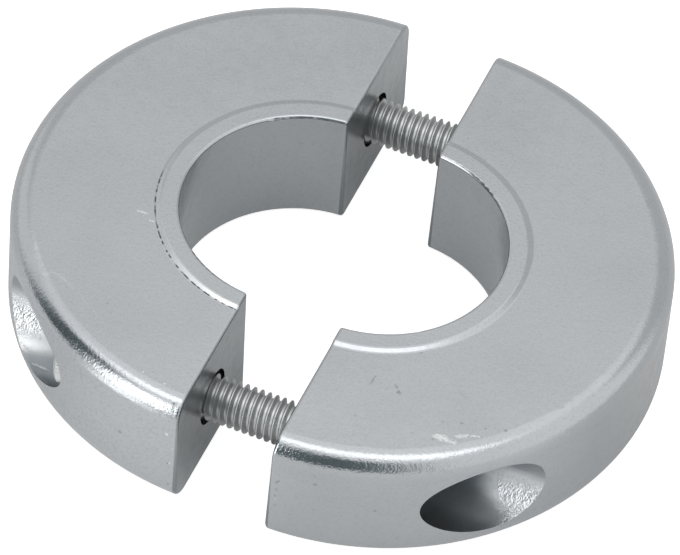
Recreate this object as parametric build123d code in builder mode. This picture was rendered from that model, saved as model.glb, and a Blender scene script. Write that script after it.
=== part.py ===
"""Split shaft-collar anode: two cast zinc halves drawn together by two M6 socket cap screws.

Frame: +Z up along the shaft, X along the screws, Y across them. The collar lies on its flat back,
and the origin is on that back, midway between the halves. The left half is on -X and holds the
screw heads; the right half is the same casting turned half round, with its screw holes tapped.
"""
from math import cos, radians, sin
import os

from build123d import *

os.makedirs("parts", exist_ok=True)

# Collar (millimetres)
shaft_diameter = 31.75        # propeller shaft of 1 1/4 inch
collar_diameter = 74.0
collar_width = 17.6           # along the shaft, without the lip
clamp_gap = 1.75              # between the halves when they grip the shaft
open_gap = 12.2               # between the halves as stored, at the height of the screws
face_draft = 1.2              # degrees that each split face leans back towards the top
rim_round = 2.8               # outer rim, front
back_round = 2.8              # outer rim, back
bore_front_round = 0.4        # bore's edges
bore_back_round = 0.8
lip_width = 2.4               # flat top of the raised ring round the bore
lip_slope = 0.7               # further width, in which the ring falls to the front face
lip_height = 0.3
lip_edge_round = 0.6          # at the slope's top and foot
face_edge_round = 0.4         # all round each split face

# Screws, M6 socket cap
screw_diameter = 6.0
screw_length = 40.0
tip_chamfer = 0.7
head_diameter = 10.0
head_height = 6.0
head_chamfer = 0.5
key_size = 5.0                # across the flats of the socket
key_depth = 3.0

# Screw holes in each half
seat_wall = 13.7              # from the split face to the pocket's floor
bore_wall = 4.4               # between the bore and a pocket
pocket_clearance = 0.75       # round the screw head
hole_clearance = 0.7          # round the screw in the left half
thread_clearance = 0.05       # round the screw in the tapped half

# Worked out
bore_radius = shaft_diameter / 2
collar_radius = collar_diameter / 2
lip_radius = bore_radius + lip_width
lip_top = collar_width + lip_height
pocket_radius = head_diameter / 2 + pocket_clearance
screw_radius = screw_diameter / 2
screw_offset = bore_radius + bore_wall + pocket_radius
screw_height = collar_width / 2
half_shift = (open_gap - clamp_gap) / 2   # from the middle of the gap to each half's bore axis
seat_distance = open_gap / 2 + seat_wall  # from the middle of the gap to the pockets' floors
hole_places = [(-screw_offset, 0), (screw_offset, 0)]


def cast_half(side, hole_radius):
    """One casting on the given side of the gap: -1 is left, +1 is right."""
    lean = radians(face_draft)
    section_plane = Plane((side * half_shift, 0, 0), x_dir=(side, 0, 0), z_dir=(0, -side, 0))
    face_plane = Plane((side * open_gap / 2, 0, screw_height), z_dir=(side * cos(lean), 0, -sin(lean)))
    gap_plane = Plane((0, 0, screw_height), x_dir=(0, 1, 0), z_dir=(side, 0, 0))
    with BuildPart() as half:
        # The collar's section, turned about the bore axis
        with BuildSketch(section_plane) as section:
            with BuildLine():
                Polyline(
                    (bore_radius, 0), (collar_radius, 0), (collar_radius, collar_width),
                    (lip_radius + lip_slope, collar_width), (lip_radius, lip_top), (bore_radius, lip_top),
                    close=True,
                )
            make_face()
            # A fillet renews the corners, so each one picks them again
            lip_corners = section.vertices().group_by(Axis.X)[1] + section.vertices().group_by(Axis.X)[2]
            fillet(lip_corners, lip_edge_round)
            fillet(section.vertices().group_by(Axis.X)[0].sort_by(Axis.Y)[0], bore_back_round)
            fillet(section.vertices().group_by(Axis.X)[0].sort_by(Axis.Y)[-1], bore_front_round)
            fillet(section.vertices().group_by(Axis.X)[-1].sort_by(Axis.Y)[0], back_round)
            fillet(section.vertices().group_by(Axis.X)[-1].sort_by(Axis.Y)[-1], rim_round)
        revolve(axis=Axis(section_plane.origin, (0, 0, 1)))

        # Cut in half by the leaning split face, whose edges are eased
        split(bisect_by=face_plane, keep=Keep.TOP)
        split_faces = half.faces().filter_by(face_plane)
        fillet(split_faces.edges(), face_edge_round)

        # Screw holes from the split face, then the wide pockets behind their seats
        with BuildSketch(gap_plane):
            with Locations(*hole_places):
                Circle(hole_radius)
        extrude(amount=collar_diameter, mode=Mode.SUBTRACT)
        with BuildSketch(gap_plane.offset(seat_distance)):
            with Locations(*hole_places):
                Circle(pocket_radius)
        extrude(amount=collar_diameter, mode=Mode.SUBTRACT)
    return half.part


def socket_screw(across):
    """Socket cap screw lying along +X, its head seated in the left half, at Y = across."""
    seat_plane = Plane((-seat_distance, across, screw_height), x_dir=(0, 1, 0), z_dir=(1, 0, 0))
    with BuildPart() as screw:
        with BuildSketch(seat_plane):
            Circle(head_diameter / 2)
        extrude(amount=-head_height)
        chamfer(screw.edges().group_by(Axis.X)[0], head_chamfer)
        with BuildSketch(seat_plane):
            Circle(screw_radius)
        extrude(amount=screw_length)
        chamfer(screw.edges().group_by(Axis.X)[-1], tip_chamfer)
        with BuildSketch(seat_plane.offset(-head_height)):
            RegularPolygon(key_size / 2, 6, major_radius=False)
        extrude(amount=key_depth, mode=Mode.SUBTRACT)
    return screw.part


left_half = cast_half(-1, screw_radius + hole_clearance)
left_half.label = "left_half"
right_half = cast_half(1, screw_radius + thread_clearance)
right_half.label = "right_half"
front_screw = socket_screw(-screw_offset)
front_screw.label = "front_screw"
rear_screw = socket_screw(screw_offset)
rear_screw.label = "rear_screw"

for piece in (left_half, right_half, front_screw, rear_screw):
    export_step(piece, f"parts/{piece.label}.step")
    print(piece.label, round(piece.volume, 1), "mm3")
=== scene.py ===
import bpy
import bmesh
from math import cos, pi, radians, sin
from mathutils import Matrix, Vector


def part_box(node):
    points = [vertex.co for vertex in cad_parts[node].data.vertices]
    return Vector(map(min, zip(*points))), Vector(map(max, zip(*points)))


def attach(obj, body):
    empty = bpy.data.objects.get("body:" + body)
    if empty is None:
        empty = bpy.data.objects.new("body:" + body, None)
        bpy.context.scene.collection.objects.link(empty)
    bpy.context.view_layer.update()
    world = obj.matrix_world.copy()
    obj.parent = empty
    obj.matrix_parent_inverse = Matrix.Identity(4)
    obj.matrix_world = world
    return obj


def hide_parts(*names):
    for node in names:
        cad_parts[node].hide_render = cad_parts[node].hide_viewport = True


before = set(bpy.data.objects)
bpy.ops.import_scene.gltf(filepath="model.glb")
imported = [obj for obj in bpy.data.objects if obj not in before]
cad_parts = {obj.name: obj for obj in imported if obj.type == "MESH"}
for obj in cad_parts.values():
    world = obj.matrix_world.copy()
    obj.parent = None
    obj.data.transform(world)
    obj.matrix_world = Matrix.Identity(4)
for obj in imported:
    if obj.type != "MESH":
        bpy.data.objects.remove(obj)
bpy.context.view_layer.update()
mm = 0.001
tiny = 0.001 * mm
print("frame loaded")


# The camera, on the side that the part is looked at from
view = {"azimuth": 19.31, "elevation": 48.49, "roll": 5.0, "distance": 0.814, "lens": 336.5,
        "target": (-2.145 * mm, 6.389 * mm, 0)}


def placeCamera(v):
    az, el, roll = radians(v["azimuth"]), radians(v["elevation"]), radians(v["roll"])
    back = Vector((sin(az) * cos(el), -cos(az) * cos(el), sin(el)))
    level = Vector((cos(az), sin(az), 0))
    lift = back.cross(level)
    right = level * cos(roll) + lift * sin(roll)
    up = lift * cos(roll) - level * sin(roll)
    lensData = bpy.data.cameras.new("camera")
    lensData.sensor_width = 36
    lensData.lens = v["lens"]
    lensData.clip_end = 10
    cam = bpy.data.objects.new("camera", lensData)
    bpy.context.scene.collection.objects.link(cam)
    turn = Matrix((right, up, back)).transposed().to_4x4()
    cam.matrix_world = Matrix.Translation(Vector(v["target"]) + back * v["distance"]) @ turn
    bpy.context.scene.camera = cam


placeCamera(view)
print("camera placed")


# Small helpers for modelling
def clearSelection():
    if bpy.context.object and bpy.context.object.mode != "OBJECT":
        bpy.ops.object.mode_set(mode="OBJECT")
    bpy.ops.object.select_all(action="DESELECT")


def makeActive(obj):
    clearSelection()
    obj.select_set(True)
    bpy.context.view_layer.objects.active = obj


def applyModifier(obj, kind, **values):
    makeActive(obj)
    mod = obj.modifiers.new(kind.lower(), kind)
    for key, value in values.items():
        setattr(mod, key, value)
    bpy.ops.object.modifier_apply(modifier=mod.name)
    return obj


def cutWith(obj, tool, operation):
    applyModifier(obj, "BOOLEAN", object=tool, operation=operation, solver="EXACT")
    bpy.data.objects.remove(tool)
    return obj


def settle(obj):
    makeActive(obj)
    bpy.ops.object.transform_apply(location=True, rotation=True, scale=True)


# Small helpers for materials
def addNode(tree, kind, **values):
    node = tree.nodes.new(kind)
    for key, value in values.items():
        if hasattr(node, key):
            setattr(node, key, value)
        else:
            feed(tree, node.inputs[key], value)
    return node


def feed(tree, socket, value):
    # another node's output is linked, and a number, a place or a colour is set
    if isinstance(value, bpy.types.NodeSocket):
        tree.links.new(value, socket)
    else:
        socket.default_value = value


def calc(tree, operation, *values):
    node = addNode(tree, "ShaderNodeMath", operation=operation)
    for socket, value in zip(node.inputs, values):
        feed(tree, socket, value)
    return node.outputs[0]


def times(tree, first, *others):
    for other in others:
        first = calc(tree, "MULTIPLY", first, other)
    return first


def strongest(tree, first, *others):
    for other in others:
        first = calc(tree, "MAXIMUM", first, other)
    return first


def vectorCalc(tree, operation, *values):
    node = addNode(tree, "ShaderNodeVectorMath", operation=operation)
    sockets = (node.inputs[0], node.inputs["Scale"]) if operation == "SCALE" else node.inputs
    for socket, value in zip(sockets, values):
        feed(tree, socket, value)
    return node.outputs["Value" if operation in ("DOT_PRODUCT", "DISTANCE", "LENGTH") else "Vector"]


def coordinates(tree, place):
    node = addNode(tree, "ShaderNodeSeparateXYZ", Vector=place)
    return [node.outputs[label] for label in "XYZ"]


def ramp(tree, value, low, high, start=0.0, end=1.0):
    # goes smoothly from start to end while the value goes from low to high
    node = addNode(tree, "ShaderNodeMapRange", interpolation_type="SMOOTHSTEP", Value=value)
    for label, number in (("From Min", low), ("From Max", high), ("To Min", start), ("To Max", end)):
        feed(tree, node.inputs[label], number)
    return node.outputs["Result"]


def bandMask(tree, value, low, high, soft):
    # 1 between low and high, fading over the softness on both sides
    return times(tree, ramp(tree, value, low - soft, low + soft), ramp(tree, value, high + soft, high - soft))


def noise(tree, place, scale, detail, roughness=0.5):
    node = addNode(tree, "ShaderNodeTexNoise", Vector=place, Scale=scale, Detail=detail, Roughness=roughness)
    return node.outputs["Fac"]


def blend(tree, factor, first, second, kind="FLOAT"):
    node = addNode(tree, "ShaderNodeMix", data_type=kind)
    for label, value in (("Factor", factor), ("A", first), ("B", second)):
        feed(tree, node.inputs[label], value)
    return node.outputs["Result"]


def mixShader(tree, factor, first, second):
    node = addNode(tree, "ShaderNodeMixShader")
    for socket, value in zip(node.inputs, (factor, first, second)):
        feed(tree, socket, value)
    return node.outputs[0]


def layOut(tree):
    # for the node editor: each node stands a column to the left of those that it feeds
    columns = {node.name: 0 for node in tree.nodes}
    wires = [(wire.from_node.name, wire.to_node.name) for wire in tree.links]
    moved = True
    while moved:
        moved = False
        for giver, taker in wires:
            if columns[giver] <= columns[taker]:
                columns[giver] = columns[taker] + 1
                moved = True
    filled = {}
    for node in tree.nodes:
        column = columns[node.name]
        row = filled[column] = filled.get(column, -1) + 1
        node.location = (-220 * column, -320 * row)


def newMaterial(name):
    mat = bpy.data.materials.new(name)
    mat.use_nodes = True
    mat.node_tree.nodes.clear()
    return mat, mat.node_tree


def useMaterial(obj, mat):
    obj.data.materials.clear()
    obj.data.materials.append(mat)


# Surface effects that the materials place with their own values
def newGroup(name, inputs, output):
    # a vector socket is given by a default of None
    tree = bpy.data.node_groups.new(name, "ShaderNodeTree")
    for label, default in inputs.items():
        kind = "NodeSocketVector" if default is None else "NodeSocketFloat"
        socket = tree.interface.new_socket(label, in_out="INPUT", socket_type=kind)
        if default is not None:
            socket.default_value = default
    tree.interface.new_socket(output, in_out="OUTPUT", socket_type="NodeSocketFloat")
    return tree, addNode(tree, "NodeGroupInput").outputs, addNode(tree, "NodeGroupOutput").inputs[output]


def useGroup(tree, group, place, **values):
    node = addNode(tree, "ShaderNodeGroup", node_tree=group)
    feed(tree, node.inputs["Place"], place)
    for label, value in values.items():
        feed(tree, node.inputs[label], value)
    return node.outputs[0]


def makeCastGrain():
    # the fine pebbled skin that a mould leaves: low bumps of two sizes
    tree, given, result = newGroup("castGrain", {"Place": None, "Scale": 3000.0, "Coarse": 0.5}, "Height")
    fine = noise(tree, given["Place"], given["Scale"], 2, 0.6)
    lumps = noise(tree, given["Place"], times(tree, given["Scale"], 0.36), 0)
    feed(tree, result, blend(tree, given["Coarse"], fine, lumps))
    layOut(tree)
    return tree


def makePits():
    # scattered round pits: one in some of the cells, each of its own size
    tree, given, result = newGroup("pits", {"Place": None, "Scale": 900.0, "Share": 0.2, "Size": 0.3}, "Mask")
    cells = addNode(tree, "ShaderNodeTexVoronoi", Vector=given["Place"], Scale=given["Scale"])
    draw = addNode(tree, "ShaderNodeSeparateColor", Color=cells.outputs["Color"])
    chosen = calc(tree, "LESS_THAN", draw.outputs["Red"], given["Share"])
    width = times(tree, calc(tree, "MULTIPLY_ADD", draw.outputs["Green"], 0.7, 0.3), given["Size"])
    hole = ramp(tree, cells.outputs["Distance"], times(tree, width, 0.35), width, 1.0, 0.0)
    feed(tree, result, times(tree, hole, chosen))
    layOut(tree)
    return tree


def makeStroke():
    # one mark drawn from one place to another, ragged and thinner at both ends
    tree, given, result = newGroup("stroke", {"Place": None, "From": None, "To": None, "Width": 0.0003,
                                              "Ragged": 0.5}, "Mask")
    reach = vectorCalc(tree, "SUBTRACT", given["Place"], given["From"])
    line = vectorCalc(tree, "SUBTRACT", given["To"], given["From"])
    share = calc(tree, "DIVIDE", vectorCalc(tree, "DOT_PRODUCT", reach, line),
                 vectorCalc(tree, "DOT_PRODUCT", line, line))
    along = addNode(tree, "ShaderNodeClamp", Value=share).outputs[0]
    off = vectorCalc(tree, "DISTANCE", reach, vectorCalc(tree, "SCALE", line, along))
    # the width goes with t (1 - t)
    swell = times(tree, along, calc(tree, "SUBTRACT", 1.0, along), 2.4)
    width = times(tree, calc(tree, "ADD", swell, 0.6), given["Ragged"], given["Width"])
    feed(tree, result, ramp(tree, off, times(tree, width, 0.3), width, 1.0, 0.0))
    layOut(tree)
    return tree


castGrain = makeCastGrain()
pits = makePits()
stroke = makeStroke()
print("surface effects ready")


# Screws: M6 socket caps, threaded along the whole shank and lying along X
screw = {"radius": 3.0 * mm, "pitch": 1.0 * mm, "depth": 0.613 * mm, "crest": 0.125 * mm, "root": 0.25 * mm,
         "length": 40 * mm, "tipChamfer": 0.75 * mm, "leadIn": 2.37, "steps": 48, "sides": 96,
         "spare": 0.05 * mm, "smoothAngle": 22,
         "headRadius": 5.0 * mm, "headHeight": 6.0 * mm, "headChamfer": 0.55 * mm, "footChamfer": 0.2 * mm,
         "knurls": 60, "knurlDepth": 0.16 * mm,
         "keyFlats": 5.0 * mm, "keyDepth": 3.0 * mm, "keyChamfer": 0.3 * mm, "drillRadius": 2.4 * mm}


def roundBar(radius, start, end, vertices):
    clearSelection()
    bpy.ops.mesh.primitive_cylinder_add(vertices=vertices, radius=radius, depth=end - start,
                                        location=((start + end) / 2, 0, 0), rotation=(0, pi / 2, 0))
    bar = bpy.context.active_object
    settle(bar)
    return bar


def bevelEnd(bar, x, width):
    # eases the rim of the end face that lies at x
    makeActive(bar)
    bpy.ops.object.mode_set(mode="EDIT")
    bpy.ops.mesh.select_all(action="DESELECT")
    bm = bmesh.from_edit_mesh(bar.data)
    bpy.context.tool_settings.mesh_select_mode = (False, False, True)
    for face in bm.faces:
        face.select = all(abs(v.co.x - x) < tiny for v in face.verts)
    bmesh.update_edit_mesh(bar.data)
    bpy.ops.mesh.bevel(offset=width, affect="EDGES")
    bpy.ops.object.mode_set(mode="OBJECT")


def screwThread(s):
    # one pitch of the profile stands over the X axis, well before the thread's start
    flank = (s["pitch"] - s["crest"] - s["root"]) / 2
    outer, inner = s["radius"], s["radius"] - s["depth"]
    along = [0, s["crest"], s["crest"] + flank, s["crest"] + flank + s["root"], s["pitch"]]
    heights = [outer, outer, inner, inner, outer]
    start = -s["leadIn"] * s["pitch"]
    mesh = bpy.data.meshes.new("threadProfile")
    corners = [(start + x, 0, z) for x, z in zip(along, heights)]
    mesh.from_pydata(corners, [(0, 1), (1, 2), (2, 3), (3, 4)], [])
    thread = bpy.data.objects.new("thread", mesh)
    bpy.context.scene.collection.objects.link(thread)
    turns = int(s["length"] / s["pitch"]) + 5
    applyModifier(thread, "SCREW", axis="X", screw_offset=s["pitch"], iterations=turns, steps=s["steps"],
                  render_steps=s["steps"])
    makeActive(thread)
    bpy.ops.object.mode_set(mode="EDIT")
    bpy.ops.mesh.select_all(action="SELECT")
    bpy.ops.mesh.remove_doubles(threshold=tiny)
    bpy.ops.mesh.fill_holes(sides=0)
    bpy.ops.mesh.select_all(action="SELECT")
    bpy.ops.mesh.normals_make_consistent(inside=False)
    bpy.ops.object.mode_set(mode="OBJECT")
    blank = roundBar(s["radius"] + s["spare"], -s["headHeight"] / 2, s["length"], s["sides"])
    bevelEnd(blank, s["length"], s["tipChamfer"])
    return cutWith(thread, blank, "INTERSECT")


def screwHead(s):
    # a knurled bar, turned down at both ends of the head
    head = roundBar(s["headRadius"], -s["headHeight"] - s["spare"], s["spare"], 2 * s["knurls"])
    makeActive(head)
    bpy.ops.object.mode_set(mode="EDIT")
    bpy.context.tool_settings.mesh_select_mode = (True, False, False)
    bpy.ops.mesh.select_all(action="DESELECT")
    bm = bmesh.from_edit_mesh(head.data)
    for vert in bm.verts:
        step = round(Vector((0, vert.co.y, vert.co.z)).angle(Vector((0, 1, 0)), 0) * s["knurls"] / pi)
        vert.select = step % 2 == 1
    bmesh.update_edit_mesh(head.data)
    shrink = 1 - s["knurlDepth"] / s["headRadius"]
    bpy.ops.transform.resize(value=(1, shrink, shrink), center_override=(0, 0, 0))
    bpy.ops.object.mode_set(mode="OBJECT")
    blank = roundBar(s["headRadius"] + s["spare"], -s["headHeight"], 0, s["sides"])
    bevelEnd(blank, -s["headHeight"], s["headChamfer"])
    bevelEnd(blank, 0, s["footChamfer"])
    return cutWith(head, blank, "INTERSECT")


def hexSocket(s):
    # the hexagon with a drilled point below it and a countersunk mouth
    top = -s["headHeight"]
    corner = s["keyFlats"] / 2 / cos(pi / 6)
    key = roundBar(corner, top - s["pitch"], top + s["keyDepth"], 6)
    clearSelection()
    deep = top + s["keyDepth"]
    bpy.ops.mesh.primitive_cone_add(vertices=s["steps"], radius1=s["drillRadius"], radius2=0,
                                    depth=s["pitch"], location=(deep + s["pitch"] / 2, 0, 0),
                                    rotation=(0, pi / 2, 0))
    point = bpy.context.active_object
    settle(point)
    cutWith(key, point, "UNION")
    clearSelection()
    mouth = corner + s["keyChamfer"]
    bpy.ops.mesh.primitive_cone_add(vertices=s["steps"], radius1=mouth, radius2=0, depth=mouth,
                                    location=(top + mouth / 2 - s["spare"], 0, 0), rotation=(0, pi / 2, 0))
    sink = bpy.context.active_object
    settle(sink)
    return cutWith(key, sink, "UNION")


def makeScrew(s):
    body = screwThread(s)
    cutWith(body, screwHead(s), "UNION")
    cutWith(body, hexSocket(s), "DIFFERENCE")
    makeActive(body)
    bpy.ops.object.shade_smooth_by_angle(angle=radians(s["smoothAngle"]))
    return body


# Stainless steel of the screws
steelLook = {"colour": (0.54, 0.55, 0.55, 1), "roughness": 0.40}


def makeStainlessSteel(look):
    mat, tree = newMaterial("stainlessSteel")
    surface = addNode(tree, "ShaderNodeBsdfPrincipled", Metallic=1, Roughness=look["roughness"])
    feed(tree, surface.inputs["Base Color"], look["colour"])
    addNode(tree, "ShaderNodeOutputMaterial", Surface=surface.outputs[0])
    layOut(tree)
    return mat


stainlessSteel = makeStainlessSteel(steelLook)


def placeScrew(pattern, name, node, turn):
    # seated where the solid's head is, turned to its own position in the thread
    low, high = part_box(node)
    piece = pattern.copy()
    piece.data = pattern.data.copy()
    piece.name = piece.data.name = name
    bpy.context.scene.collection.objects.link(piece)
    piece.rotation_euler = (radians(turn), 0, 0)
    piece.location = (low[0] + screw["headHeight"], (low[1] + high[1]) / 2, (low[2] + high[2]) / 2)
    settle(piece)
    useMaterial(piece, stainlessSteel)
    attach(piece, "head_side")
    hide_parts(node)


screwPattern = makeScrew(screw)
placeScrew(screwPattern, "frontCapScrew", "front_screw", 20)
placeScrew(screwPattern, "rearCapScrew", "rear_screw", 205)
bpy.data.objects.remove(screwPattern)
print("screws made")


# Cast zinc of the two halves
castLook = {"light": (0.505, 0.527, 0.545, 1), "dull": (0.22, 0.245, 0.26, 1),
            "bright": (0.88, 0.89, 0.90, 1), "footShade": (0.05, 0.055, 0.06, 1),
            # roughness: the skin goes from smooth to rough in patches
            "smooth": 0.19, "rough": 0.27, "patchScale": 700.0,
            "rimRough": 0.13, "pocketRough": 0.32, "mouthRough": 0.24,
            # how dark the painted shade is on the split faces at the top and the foot, and how dirty the
            # rest; painted shade and painted light in the pockets, a painted highlight on the ring's slope
            # and painted shade along its foot
            "splitTop": 0.52, "splitFoot": 0.88, "clouds": 0.10, "cloudScale": 60.0,
            "freckles": 0.12, "wallFreckles": 0.12, "freckleScale": 2900.0,
            "specks": 0.55, "speckScale": 420.0, "speckShare": 0.08, "speckSize": 0.2,
            "pocketShade": 0.6, "pocketBrightness": 0.12, "mouthBrightness": 0.28,
            "lipHighlightStrength": 0.4, "footScale": 1300.0,
            # bumps
            "grainScale": 3500.0, "coarse": 0.3, "grain": 0.010 * mm, "wallGrain": 0.026 * mm,
            "rimGrain": 0.028 * mm, "pebbles": 0.12 * mm, "deepPebbles": 0.06, "leftPebbles": 0.7,
            # how far the marks wander, and how ragged they are
            "warp": 0.5 * mm, "warpScale": 1700.0, "raggedScale": 4200.0}
# where the parts of the casting lie; a pair is the start and the end of a soft edge
collar = {"boreShift": 5.225 * mm, "radius": 37.0 * mm, "top": 17.6 * mm, "rim": 2.8 * mm, "edge": 0.1 * mm,
          "splitFace": 6.45 * mm, "lipStart": 18.3 * mm, "lipFoot": 18.9 * mm, "footWidth": 0.09 * mm,
          "screwOffset": 26.025 * mm, "screwHeight": 8.8 * mm, "pocketRadius": 5.77 * mm,
          "pocketFloor": 19.7 * mm, "mouthReach": (31 * mm, 37 * mm), "mouthHeight": (-1.8 * mm, 0.4 * mm),
          "pocketUpper": (-1.5 * mm, 1.0 * mm), "leftOf": (-6 * mm, -3 * mm), "frontOf": (-4 * mm, 2 * mm),
          "highlightFront": (-17 * mm, -12 * mm), "lowPart": (1 * mm, 16 * mm)}
# nicks, flecks and hair lines, with a painted shadow beside a dent and a painted highlight and painted shade
# along a ridge low in a pocket of the left half: from, to, half width (all in millimetres) and how strong
marks = {
    "bright": [
        ((23.33, -26.92, 17.60), (26.15, -26.88, 17.60), 0.36, 0.70),
        ((23.54, -26.64, 17.60), (25.20, -26.81, 17.60), 0.34, 0.70),
        ((25.76, -25.92, 17.60), (27.13, -25.08, 17.60), 0.32, 0.55),
        ((27.43, -25.02, 17.60), (28.43, -24.72, 17.60), 0.22, 0.55),
        ((-12.74, -33.03, 17.60), (-12.62, -33.06, 17.60), 0.16, 0.70),
        ((-9.65, -33.64, 17.60), (-9.50, -33.66, 17.60), 0.16, 0.70),
        ((-7.64, -36.92, 12.61), (-7.56, -36.93, 12.27), 0.18, 0.90),
        ((-7.05, -36.95, 10.12), (-6.71, -36.97, 10.18), 0.10, 0.60),
        ((-7.07, -36.95, 7.24), (-6.93, -36.96, 7.27), 0.18, 0.90),
        ((7.09, -36.95, 7.81), (7.19, -36.95, 7.85), 0.12, 0.80),
        ((-24.40, -9.20, 17.60), (-22.80, -9.0, 17.60), 0.15, 0.70),
        ((-22.30, -10.10, 17.60), (-21.60, -9.95, 17.60), 0.16, 0.70),
        ((-30.41, -24.13, 17.50), (-29.67, -23.22, 17.60), 0.20, 0.12),
        ((-29.67, -23.22, 17.60), (-28.63, -23.17, 17.60), 0.20, 0.14),
        ((-28.63, -23.17, 17.60), (-27.32, -23.78, 17.60), 0.22, 0.18),
        ((-27.32, -23.78, 17.60), (-25.65, -24.56, 17.60), 0.20, 0.10),
        ((-25.65, -24.56, 17.60), (-20.04, -28.21, 17.60), 0.16, 0.06),
        # painted highlight along a ridge low in a pocket of the left half
        ((-30.50, -26.30, 3.10), (-28.20, -26.50, 3.10), 0.2, 1.0)],
    "dark": [
        ((-7.98, -36.90, 12.31), (-7.90, -36.90, 12.24), 0.12, 0.50),
        ((-7.46, -36.93, 7.25), (-7.37, -36.94, 7.11), 0.14, 0.90),
        ((-7.46, -36.48, 16.32), (-7.40, -35.53, 17.22), 0.16, 0.90),
        ((7.12, -36.95, 10.71), (7.44, -36.93, 11.53), 0.14, 0.90),
        ((7.16, -36.95, 9.96), (7.19, -36.95, 9.40), 0.18, 0.40),
        ((7.07, -36.95, 8.67), (7.16, -36.95, 8.46), 0.15, 0.70),
        ((7.19, -36.95, 6.89), (7.21, -36.95, 6.51), 0.15, 0.30),
        ((12.0, -36.37, 7.65), (12.08, -36.36, 7.53), 0.15, 0.50),
        ((14.86, -35.72, 6.23), (14.98, -35.69, 6.16), 0.20, 0.40),
        ((11.80, -36.41, 14.32), (11.83, -36.41, 13.75), 0.14, 0.40),
        ((13.22, -21.15, 17.60), (13.20, -22.86, 17.60), 0.23, 0.50),
        ((11.80, -21.12, 17.60), (11.96, -21.19, 17.60), 0.15, 0.40),
        ((16.64, -22.17, 17.60), (17.08, -22.59, 17.60), 0.27, 0.80),
        ((16.03, -21.49, 17.60), (16.43, -21.83, 17.60), 0.22, 0.50),
        ((14.99, -22.58, 17.60), (15.12, -22.68, 17.60), 0.15, 0.50),
        ((15.41, -24.47, 17.60), (15.58, -24.56, 17.60), 0.20, 0.35),
        ((13.43, -28.44, 17.60), (13.47, -27.89, 17.60), 0.17, 0.50),
        ((16.18, -27.08, 17.60), (16.31, -27.08, 17.60), 0.15, 0.30),
        ((20.79, -27.64, 17.60), (20.94, -27.70, 17.60), 0.15, 0.35),
        ((23.44, -24.31, 17.60), (23.61, -24.40, 17.60), 0.17, 0.50),
        ((24.23, -24.63, 17.60), (24.40, -24.72, 17.60), 0.15, 0.50),
        ((25.46, -23.59, 17.60), (25.99, -23.60, 17.60), 0.15, 0.60),
        ((26.97, -22.59, 17.60), (27.09, -22.57, 17.60), 0.15, 0.50),
        ((16.78, -15.47, 17.60), (17.02, -15.08, 17.60), 0.13, 0.50),
        ((17.44, -15.78, 17.60), (17.62, -15.87, 17.60), 0.12, 0.40),
        ((21.97, -11.68, 17.60), (22.14, -11.78, 17.60), 0.12, 0.50),
        ((23.26, -18.88, 17.60), (24.80, -19.73, 17.60), 0.12, 0.30),
        # painted shadow beside the bright dent
        ((23.26, -27.39, 17.60), (23.72, -27.70, 17.60), 0.13, 0.50),
        # painted shade beside the ridge low in a pocket of the left half
        ((-30.40, -26.70, 3.15), (-28.20, -26.90, 3.15), 0.12, 0.60)]}


def castMasks(tree, place, c):
    # which part of the casting a point is on, from its distance to the bore's axis and to the nearest screw's
    x, y, z = coordinates(tree, place)
    outward = calc(tree, "ABSOLUTE", x)
    reach = calc(tree, "SUBTRACT", outward, c["boreShift"])
    radius = calc(tree, "SQRT", calc(tree, "ADD", times(tree, reach, reach), times(tree, y, y)))
    across = calc(tree, "SUBTRACT", calc(tree, "ABSOLUTE", y), c["screwOffset"])
    above = calc(tree, "SUBTRACT", z, c["screwHeight"])
    screwAway = calc(tree, "SQRT", calc(tree, "ADD", times(tree, across, across), times(tree, above, above)))
    onFace = calc(tree, "GREATER_THAN", z, c["top"] - c["edge"])
    rimStart = c["radius"] - c["rim"]
    footBand = (c["lipFoot"] - c["footWidth"], c["lipFoot"] + c["footWidth"])
    return {
        "wall": ramp(tree, radius, c["radius"] - 0.5 * c["rim"], c["radius"] - 0.1 * c["rim"]),
        "rim": times(tree, ramp(tree, radius, rimStart, rimStart + 0.4 * c["rim"]),
                     ramp(tree, z, c["top"] - 1.4 * c["rim"], c["top"] - 0.7 * c["rim"])),
        "split": calc(tree, "LESS_THAN", outward, c["splitFace"]),
        "pocket": times(tree, calc(tree, "LESS_THAN", screwAway, c["pocketRadius"]),
                        calc(tree, "GREATER_THAN", outward, c["pocketFloor"])),
        # a pocket is rougher low on its outward wall, where painted light also lies, the more so the nearer
        # the mouth
        "mouth": times(tree, ramp(tree, calc(tree, "MULTIPLY_ADD", across, -0.8, outward), *c["mouthReach"]),
                       ramp(tree, above, *c["mouthHeight"], 1.0, 0.05)),
        "pocketUpper": ramp(tree, above, *c["pocketUpper"]),
        "slope": times(tree, bandMask(tree, radius, c["lipStart"], c["lipFoot"], c["edge"]), onFace,
                       ramp(tree, y, *c["highlightFront"], 1.0, 0.0)),
        "foot": times(tree, bandMask(tree, radius, *footBand, 0.6 * c["edge"]), onFace),
        "left": calc(tree, "LESS_THAN", x, 0.0),
        "leftFront": times(tree, ramp(tree, x, *c["leftOf"], 1.0, 0.0),
                           ramp(tree, y, *c["frontOf"], 1.0, 0.0)),
        "low": ramp(tree, z, *c["lowPart"], 1.0, 0.0)}


def castMarks(tree, place, rows, ragged):
    # each mark by its own stroke, joined by the strongest
    strokes = []
    for start, end, width, strength in rows:
        mask = useGroup(tree, stroke, place, From=[value * mm for value in start],
                        To=[value * mm for value in end], Width=width * mm, Ragged=ragged)
        strokes.append(times(tree, mask, strength))
    return strongest(tree, *strokes)


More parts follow.
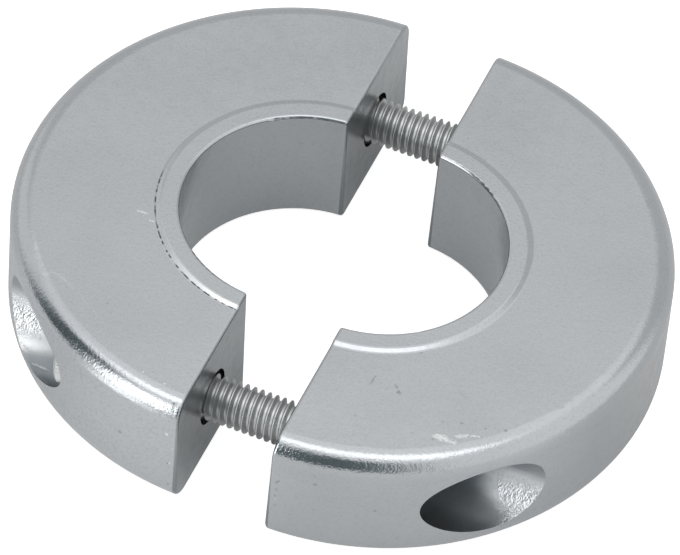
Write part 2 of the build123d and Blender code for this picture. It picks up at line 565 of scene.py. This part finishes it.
def castBumps(tree, place, on, look):
    # the skin is finest on the faces, coarser on the wall and the rim, and pebbled in the pockets
    grain = useGroup(tree, castGrain, place, Scale=look["grainScale"], Coarse=look["coarse"])
    depth = calc(tree, "ADD", look["grain"], times(tree, on["wall"], look["wallGrain"]))
    depth = calc(tree, "ADD", depth, times(tree, on["rim"], look["rimGrain"]))
    rugged = calc(tree, "MULTIPLY_ADD", times(tree, on["mouth"], on["mouth"]), 1 - look["deepPebbles"],
                  look["deepPebbles"])
    calmer = calc(tree, "MULTIPLY_ADD", on["left"], look["leftPebbles"] - 1, 1.0)
    depth = calc(tree, "ADD", depth, times(tree, rugged, look["pebbles"], calmer, on["pocket"]))
    bump = addNode(tree, "ShaderNodeBump", Strength=1, Distance=1, Height=times(tree, grain, depth))
    return bump.outputs[0]


def castDirtAndShade(tree, place, on, look):
    # faint clouds, freckles that are thicker on the left wall, a few specks, and painted shade
    clouds = ramp(tree, noise(tree, place, look["cloudScale"], 3), 0.4, 0.75, 0.0, look["clouds"])
    freckles = ramp(tree, noise(tree, place, look["freckleScale"], 1), 0.45, 0.75)
    leftWall = times(tree, on["wall"], on["left"])
    most = calc(tree, "MULTIPLY_ADD", leftWall, look["wallFreckles"], look["freckles"])
    specks = useGroup(tree, pits, place, Scale=look["speckScale"], Share=look["speckShare"],
                      Size=look["speckSize"])
    # painted shade on the split faces, the darker the lower, and in the upper part of each pocket
    splitShade = ramp(tree, on["low"], 0.0, 1.0, look["splitTop"], look["splitFoot"])
    return strongest(tree, calc(tree, "MULTIPLY_ADD", freckles, most, clouds),
                     times(tree, specks, look["specks"]),
                     times(tree, on["split"], splitShade),
                     # painted shade in the upper part of each pocket
                     times(tree, on["pocket"], on["pocketUpper"], look["pocketShade"]))


def castColour(tree, place, on, look):
    # the marks wander a little from their straight lines
    wander = addNode(tree, "ShaderNodeTexNoise", Vector=place, Scale=look["warpScale"], Detail=1.0)
    shift = vectorCalc(tree, "MULTIPLY_ADD", wander.outputs["Color"], [look["warp"]] * 3,
                       [-0.5 * look["warp"]] * 3)
    loose = vectorCalc(tree, "ADD", place, shift)
    ragged = ramp(tree, noise(tree, place, look["raggedScale"], 2, 0.7), 0.32, 0.66, 0.2, 1.7)
    brightMarks = castMarks(tree, loose, marks["bright"], ragged)
    darkMarks = castMarks(tree, loose, marks["dark"], ragged)
    # painted shade lies in patches along the foot of the raised ring, and a painted highlight on its slope in
    # front
    patchy = ramp(tree, noise(tree, place, look["footScale"], 1, 0.6), 0.42, 0.56, 0.15, 1.0)
    footShade = times(tree, on["foot"], patchy, on["leftFront"])
    # painted highlight on the ring's slope in front
    lipHighlight = times(tree, on["slope"], on["leftFront"], look["lipHighlightStrength"])
    # painted light in the pockets, strongest low on the outward wall near the mouth
    paintedPocketLight = calc(tree, "MULTIPLY_ADD", on["mouth"], look["mouthBrightness"], look["pocketBrightness"])
    layers = ((strongest(tree, castDirtAndShade(tree, place, on, look), darkMarks), "dull"), (lipHighlight, "bright"),
              (footShade, "footShade"), (times(tree, paintedPocketLight, on["pocket"]), "bright"), (brightMarks, "bright"))
    colour = look["light"]
    for mask, label in layers:
        colour = blend(tree, mask, colour, look[label], "RGBA")
    return colour


def castRoughness(tree, place, on, look):
    patches = noise(tree, place, look["patchScale"], 1, 0.6)
    rough = ramp(tree, patches, 0.3, 0.7, look["smooth"], look["rough"])
    rough = blend(tree, on["rim"], rough, look["rimRough"])
    rough = blend(tree, on["pocket"], rough, look["pocketRough"])
    return blend(tree, times(tree, on["pocket"], on["mouth"]), rough, look["mouthRough"])


def makeCastZinc(look):
    mat, tree = newMaterial("castZinc")
    place = addNode(tree, "ShaderNodeTexCoord").outputs["Object"]
    on = castMasks(tree, place, collar)
    surface = addNode(tree, "ShaderNodeBsdfPrincipled", Metallic=1)
    feed(tree, surface.inputs["Base Color"], castColour(tree, place, on, look))
    feed(tree, surface.inputs["Roughness"], castRoughness(tree, place, on, look))
    feed(tree, surface.inputs["Normal"], castBumps(tree, place, on, look))
    addNode(tree, "ShaderNodeOutputMaterial", Surface=surface.outputs[0])
    layOut(tree)
    return mat


castZinc = makeCastZinc(castLook)
for nodeName in ("left_half", "right_half"):
    useMaterial(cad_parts[nodeName], castZinc)
print("castings finished")


# Floor and light: a pale sheet in a white tent, with darker gaps on the camera's side
studio = {"air": 1.12, "white": (1, 1, 1, 1), "shadeColour": (0.84, 1.02, 1.08, 1), "shadeTone": (0.15, 0.6),
          # the tent is darker low down and brighter higher up: elevations in degrees
          "low": 0.67, "high": 1.12, "lowElevation": 46.0, "highElevation": 51.0}
# the wide lamp overhead, by the two level components of its direction
lamp = {"across": (-0.46, 0.42), "along": (-0.31, 0.09), "soft": 0.09, "light": 2.1}
# each patch: centre azimuth, half width, low and high elevation, softness, its light
patches = {"rightSide": (86, 44, -20, 60, 6, 1.0), "leftSide": (-112, 20, 8, 50, 8, 0.9),
           "frontGap": (5, 24, -12, 55, 8, 0.165), "leftGap": (-69, 14, -12, 52, 8, 0.135),
           "stripLight": (-33, 14, -40, 46, 4, 3.0)}
# the sheet as it is seen, and what the metal sees of it: lit in front on the left, dark between the halves
sheet = {"size": 4.0, "colour": (0.70, 0.70, 0.70, 1), "lift": 0.75, "dimColour": (0.55, 0.55, 0.55, 1),
         "frontGlow": 0.09, "rearGlow": -0.05, "frontToRear": (-0.035, 0.0),
         "glow": 0.23, "glowPlace": (-0.016, -0.048, 0), "glowReach": (0.004, 0.03),
         "gapGlow": 0.14, "gapEdge": (0.026, 0.036),
         "stripGlow": 1.3, "stripPlace": (-0.014, -0.034, 0), "stripAzimuth": -38.0, "stripWidth": 0.013,
         "stripSoft": 0.005, "stripLength": (-0.045, -0.022)}


def makeWorld(s, wide, parts):
    world = bpy.data.worlds.new("studioAir")
    bpy.context.scene.world = world
    world.use_nodes = True
    air = world.node_tree
    air.nodes.clear()
    x, y, z = coordinates(air, addNode(air, "ShaderNodeTexCoord").outputs["Generated"])
    azimuth = calc(air, "DEGREES", calc(air, "ARCTAN2", x, times(air, y, -1)))
    elevation = calc(air, "DEGREES", calc(air, "ARCSINE", z))
    tone = ramp(air, elevation, s["lowElevation"], s["highElevation"], s["low"], s["high"])
    lit = times(air, bandMask(air, x, *wide["across"], wide["soft"]),
                bandMask(air, y, *wide["along"], wide["soft"]))
    tone = ramp(air, lit, 0.0, 1.0, tone, wide["light"])
    for centre, half, low, high, soft, light in parts.values():
        mask = times(air, bandMask(air, azimuth, centre - half, centre + half, soft),
                     bandMask(air, elevation, low, high, soft))
        tone = blend(air, mask, tone, light)
    # the gaps are a little greener than the tent
    tint = blend(air, ramp(air, tone, *s["shadeTone"]), s["shadeColour"], s["white"], "RGBA")
    tent = addNode(air, "ShaderNodeBackground", Color=tint, Strength=tone)
    plain = addNode(air, "ShaderNodeBackground", Color=s["white"], Strength=s["air"])
    white = addNode(air, "ShaderNodeBackground", Color=s["white"], Strength=1)
    path = addNode(air, "ShaderNodeLightPath")
    lightOnly = mixShader(air, path.outputs["Is Glossy Ray"], plain.outputs[0], tent.outputs[0])
    clear = strongest(air, path.outputs["Is Camera Ray"], path.outputs["Is Transmission Ray"])
    seen = mixShader(air, clear, lightOnly, white.outputs[0])
    addNode(air, "ShaderNodeOutputWorld", Surface=seen)
    layOut(air)


def sheetGlow(tree, s):
    place = addNode(tree, "ShaderNodeTexCoord").outputs["Object"]
    near = ramp(tree, coordinates(tree, place)[1], *s["frontToRear"], s["frontGlow"], s["rearGlow"])
    toSpot = vectorCalc(tree, "DISTANCE", place, s["glowPlace"])
    spot = ramp(tree, toSpot, *s["glowReach"], s["glow"], near)
    outside = ramp(tree, vectorCalc(tree, "LENGTH", place), *s["gapEdge"])
    glow = calc(tree, "MULTIPLY_ADD", spot, outside, s["gapGlow"])
    # the strip light's own patch of light on the sheet
    turn = addNode(tree, "ShaderNodeMapping", vector_type="TEXTURE", Vector=place, Location=s["stripPlace"],
                   Rotation=(0, 0, radians(s["stripAzimuth"])))
    x, y = coordinates(tree, turn.outputs[0])[:2]
    across = bandMask(tree, x, -s["stripWidth"], s["stripWidth"], s["stripSoft"])
    along = ramp(tree, y, *s["stripLength"], s["stripGlow"], 0.0)
    return calc(tree, "MULTIPLY_ADD", across, along, glow)


def makeFloor(s):
    clearSelection()
    bpy.ops.mesh.primitive_plane_add(size=s["size"], location=(0, 0, 0))
    floor = bpy.context.active_object
    floor.name = "floor"
    mat, tree = newMaterial("floorPaper")
    paper = addNode(tree, "ShaderNodeBsdfDiffuse", Color=s["colour"])
    lift = addNode(tree, "ShaderNodeEmission", Strength=s["lift"])
    seen = addNode(tree, "ShaderNodeAddShader")
    dim = addNode(tree, "ShaderNodeBsdfDiffuse", Color=s["dimColour"])
    glow = addNode(tree, "ShaderNodeEmission", Strength=sheetGlow(tree, s))
    reflected = addNode(tree, "ShaderNodeAddShader")
    for both, first, second in ((seen, paper, lift), (reflected, dim, glow)):
        feed(tree, both.inputs[0], first.outputs[0])
        feed(tree, both.inputs[1], second.outputs[0])
    isCamera = addNode(tree, "ShaderNodeLightPath").outputs["Is Camera Ray"]
    addNode(tree, "ShaderNodeOutputMaterial",
            Surface=mixShader(tree, isCamera, reflected.outputs[0], seen.outputs[0]))
    layOut(tree)
    useMaterial(floor, mat)


makeWorld(studio, lamp, patches)
makeFloor(sheet)
bpy.context.scene.view_settings.view_transform = "Standard"
print("studio lit")
